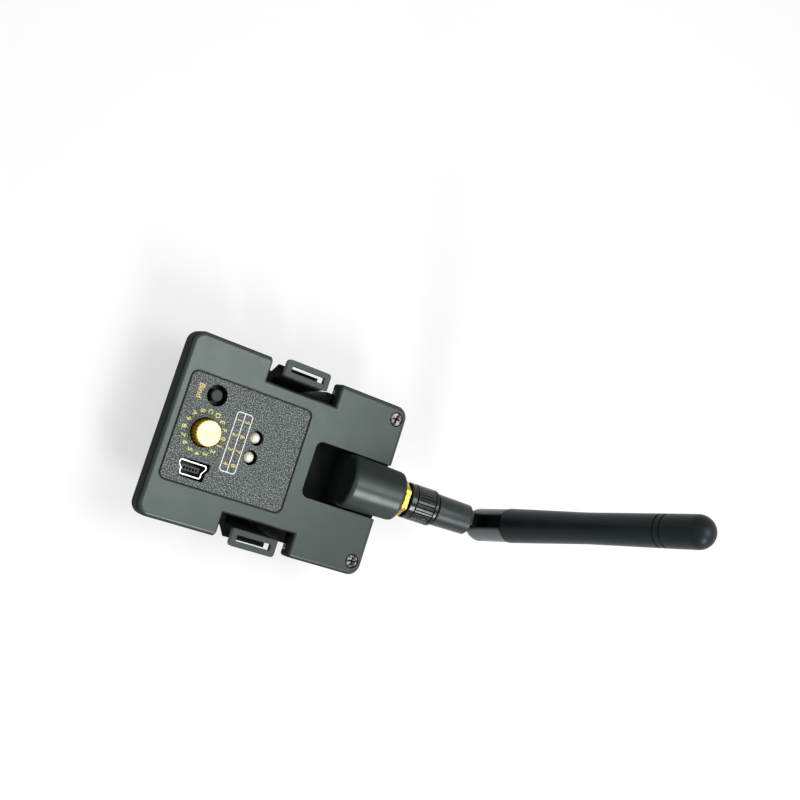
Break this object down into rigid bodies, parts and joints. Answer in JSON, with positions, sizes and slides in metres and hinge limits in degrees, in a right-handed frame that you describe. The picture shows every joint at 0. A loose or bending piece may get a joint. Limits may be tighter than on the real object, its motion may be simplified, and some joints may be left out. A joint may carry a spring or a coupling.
{
  "type": "rc transmitter module",
  "caption": "Plug-in radio transmitter module: stepped case with squeeze latches, selector knob, bind button, lights, data socket and a folding whip antenna.",
  "frame": {"origin": "centre of the case's back face", "axes": "+X along the case towards the antenna, +Y towards one latch, +Z out of the cover face"},
  "size_m": [0.1056, 0.0488, 0.1001],
  "materials": {
    "cover_plastic": "satin dark charcoal moulding",
    "housing_plastic": "satin dark charcoal moulding",
    "latch_plastic": "satin charcoal moulding",
    "label_film": "speckled dark silver printed film",
    "knob_brass": "warm gold, ridged side",
    "switch_plastic": "black moulding",
    "button_plastic": "dark grey moulding",
    "light_lens": "milky lens",
    "tinned_metal": "tinned",
    "socket_metal": "plated shell",
    "socket_plastic": "grey moulding",
    "board_laminate": "green solder mask",
    "chip_epoxy": "moulded case",
    "can_metal": "plated can",
    "screw_steel": "plated cross-recessed heads",
    "strip_plastic": "black moulding",
    "connector_gold": "gold plate",
    "insulator_plastic": "white",
    "cable_jacket": "brown jacket",
    "nut_black": "black plated, knurled",
    "pin_steel": "turned",
    "antenna_plastic": "black, fine texture",
    "antenna_sleeve": "black, soft sheen",
    "radiator_copper": "copper tube"
  },
  "bodies": {
    "case": {"front_cover": "cover_plastic", "label_plate": "label_film", "rear_housing": "housing_plastic", "cover_screws": "screw_steel", "board_screws": "screw_steel", "rotary_switch": "switch_plastic", "button_switch": "switch_plastic", "status_light_1": "light_lens", "status_light_2": "light_lens", "status_light_leads": "tinned_metal", "data_socket_shell": "socket_metal", "data_socket_core": "socket_plastic", "data_socket_blades": "tinned_metal", "main_board": "board_laminate", "bay_socket": "strip_plastic", "bay_contacts": "tinned_metal", "radio_chips": "chip_epoxy", "crystals": "can_metal", "controller_chip": "chip_epoxy", "voltage_regulator": "chip_epoxy", "power_inductor": "chip_epoxy", "rf_connector": "connector_gold", "connector_insulator": "insulator_plastic", "connector_contact": "connector_gold", "lock_washer": "connector_gold", "hex_nut": "connector_gold", "rf_pigtail": "cable_jacket", "pigtail_plug": "can_metal"},
    "knob": {"selector_knob": "knob_brass"},
    "button": {"bind_button": "button_plastic"},
    "right_latch": {"latch_right": "latch_plastic"},
    "left_latch": {"latch_left": "latch_plastic"},
    "nut": {"coupling_nut": "nut_black"},
    "elbow": {"antenna_ferrule": "connector_gold", "antenna_pin": "connector_gold", "antenna_elbow": "antenna_plastic"},
    "whip": {"hinge_pin": "pin_steel", "whip_neck": "antenna_plastic", "whip_sleeve": "antenna_sleeve", "whip_radiator": "radiator_copper"}
  },
  "joints": [
    {"name": "knob_turn", "type": "hinge", "parent": "case", "child": "knob", "pos_m": [-0.0217, 0, 0.02], "axis": [0, 0, -1], "continuous": true},
    {"name": "button_press", "type": "slide", "parent": "case", "child": "button", "axis": [0, 0, -1], "range_m": [0, 0.0003], "stiffness_N_per_m": 800, "springref_m": -0.0003},
    {"name": "right_latch_squeeze", "type": "hinge", "parent": "case", "child": "right_latch", "pos_m": [0, 0.0189, 0.0022], "axis": [1, 0, 0], "range_deg": [0, 7], "stiffness_Nm_per_rad": 0.4, "springref_deg": -2.86},
    {"name": "left_latch_squeeze", "type": "hinge", "parent": "case", "child": "left_latch", "pos_m": [0, -0.0189, 0.0022], "axis": [-1, 0, 0], "range_deg": [0, 7], "stiffness_Nm_per_rad": 0.4, "springref_deg": -2.86},
    {"name": "nut_turn", "type": "hinge", "parent": "case", "child": "nut", "pos_m": [0.03974, 0, 0.02559], "axis": [0.9903, 0, 0.1392], "continuous": true},
    {"name": "antenna_swivel", "type": "hinge", "parent": "case", "child": "elbow", "pos_m": [0.04568, 0, 0.02642], "axis": [0.9903, 0, 0.1392], "continuous": true},
    {"name": "whip_fold", "type": "hinge", "parent": "elbow", "child": "whip", "pos_m": [0.06024, 0, 0.02847], "axis": [-0.0242, -0.9848, 0.172], "range_deg": [-74.4, 15.6]}
  ]
}
